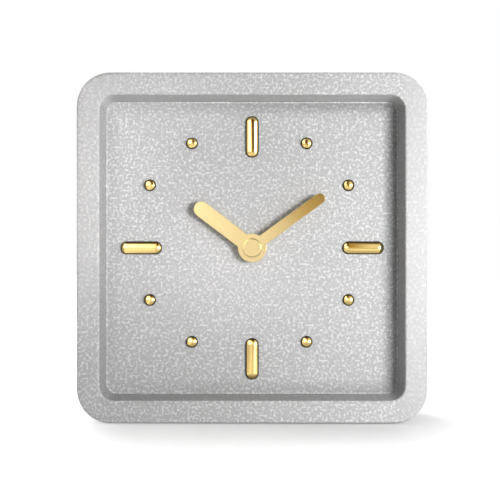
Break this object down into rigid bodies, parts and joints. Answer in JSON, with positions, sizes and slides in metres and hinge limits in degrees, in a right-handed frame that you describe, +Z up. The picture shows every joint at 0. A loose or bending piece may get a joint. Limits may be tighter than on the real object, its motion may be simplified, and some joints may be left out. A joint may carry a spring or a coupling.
{
  "type": "square table clock",
  "caption": "Square table clock with rounded corners, a recessed flecked grey dial, gold bars, dots and two hands, a geared quartz movement, setting knob and removable cell behind.",
  "frame": {"origin": "on the standing surface, under the middle of the case", "axes": "+X to the right of someone facing the dial, +Y back from the dial, +Z up"},
  "size_m": [0.15, 0.042, 0.1505],
  "materials": {
    "flecked_stone": "moulded, light grey with pale flecks, matt",
    "polished_gold": "polished gold",
    "satin_gold": "satin gold anodised",
    "cover_plastic": "fine matt texture",
    "movement_plastic": "matt black",
    "knob_plastic": "black, semi gloss",
    "wheel_plastic": "natural white moulding",
    "pipe_brass": "turned brass",
    "black_rubber": "matt",
    "screw_steel": "zinc plated",
    "magnet": "ground ferrite",
    "motor_steel": "rolled sheet",
    "bobbin_plastic": "moulded",
    "coil_wire": "enamelled copper wire",
    "board": "bare laminate",
    "chip_resin": "black resin",
    "bright_steel": "nickel plated",
    "cell_jacket": "plain grey sleeve"
  },
  "bodies": {
    "case": {"housing": "flecked_stone", "dial_plate": "flecked_stone", "hour_bar_12": "polished_gold", "hour_bar_3": "polished_gold", "hour_bar_6": "polished_gold", "hour_bar_9": "polished_gold", "hour_dot_1": "polished_gold", "hour_dot_2": "polished_gold", "hour_dot_4": "polished_gold", "hour_dot_5": "polished_gold", "hour_dot_7": "polished_gold", "hour_dot_8": "polished_gold", "hour_dot_10": "polished_gold", "hour_dot_11": "polished_gold", "rear_cover": "cover_plastic", "movement_case": "movement_plastic", "movement_lid": "movement_plastic", "train_plate": "wheel_plastic", "centre_bush": "pipe_brass", "hex_nut": "pipe_brass", "dial_washer": "pipe_brass", "foot_pads": "black_rubber", "dial_gasket": "black_rubber", "rear_cover_screws": "screw_steel", "stator": "motor_steel", "coil_core": "motor_steel", "coil_bobbin": "bobbin_plastic", "coil_winding": "coil_wire", "circuit_board": "board", "chip_blob": "chip_resin", "crystal_can": "bright_steel", "contact_negative": "bright_steel", "contact_positive": "bright_steel"},
    "minute": {"minute_hand": "satin_gold", "hand_cap": "satin_gold", "minute_pipe": "pipe_brass", "centre_wheel": "wheel_plastic"},
    "hour": {"hour_hand": "satin_gold", "hour_wheel": "wheel_plastic"},
    "motion": {"motion_wheel": "wheel_plastic"},
    "setting": {"setting_shaft": "wheel_plastic", "setting_knob": "knob_plastic"},
    "third": {"third_wheel": "wheel_plastic"},
    "second": {"second_wheel": "wheel_plastic"},
    "intermediate": {"intermediate_wheel": "wheel_plastic"},
    "rotor": {"rotor_pinion": "wheel_plastic", "rotor_magnet": "magnet"},
    "cell": {"battery_cell": "cell_jacket"}
  },
  "joints": [
    {"name": "minute_turn", "type": "hinge", "parent": "case", "child": "minute", "pos_m": [0, 0, 0.0755], "axis": [0, 1, 0], "continuous": true},
    {"name": "hour_turn", "type": "hinge", "parent": "case", "child": "hour", "pos_m": [0, 0, 0.0755], "axis": [0, 1, 0], "continuous": true},
    {"name": "motion_turn", "type": "hinge", "parent": "case", "child": "motion", "pos_m": [0.00816, 0, 0.0793], "axis": [0, 1, 0], "continuous": true},
    {"name": "setting_turn", "type": "hinge", "parent": "case", "child": "setting", "pos_m": [0.01716, 0, 0.0793], "axis": [0, 1, 0], "continuous": true},
    {"name": "third_turn", "type": "hinge", "parent": "case", "child": "third", "pos_m": [-0.00891, 0, 0.07675], "axis": [0, 1, 0], "continuous": true},
    {"name": "second_turn", "type": "hinge", "parent": "case", "child": "second", "pos_m": [0, 0, 0.0755], "axis": [0, 1, 0], "continuous": true},
    {"name": "intermediate_turn", "type": "hinge", "parent": "case", "child": "intermediate", "pos_m": [-0.00156, 0, 0.08436], "axis": [0, 1, 0], "continuous": true},
    {"name": "rotor_turn", "type": "hinge", "parent": "case", "child": "rotor", "pos_m": [0.00194, 0, 0.09043], "axis": [0, 1, 0], "continuous": true},
    {"name": "cell_slide", "type": "slide", "parent": "case", "child": "cell", "axis": [0, 1, 0], "range_m": [0, 0.03]}
  ],
  "couplings": [
    {"joint": "hour_turn", "follows": "minute_turn", "ratio": 0.083333},
    {"joint": "motion_turn", "follows": "minute_turn", "ratio": -0.33333},
    {"joint": "setting_turn", "follows": "minute_turn", "ratio": 1},
    {"joint": "third_turn", "follows": "minute_turn", "ratio": -8},
    {"joint": "second_turn", "follows": "minute_turn", "ratio": 60},
    {"joint": "intermediate_turn", "follows": "minute_turn", "ratio": -300},
    {"joint": "rotor_turn", "follows": "minute_turn", "ratio": 1800}
  ]
}
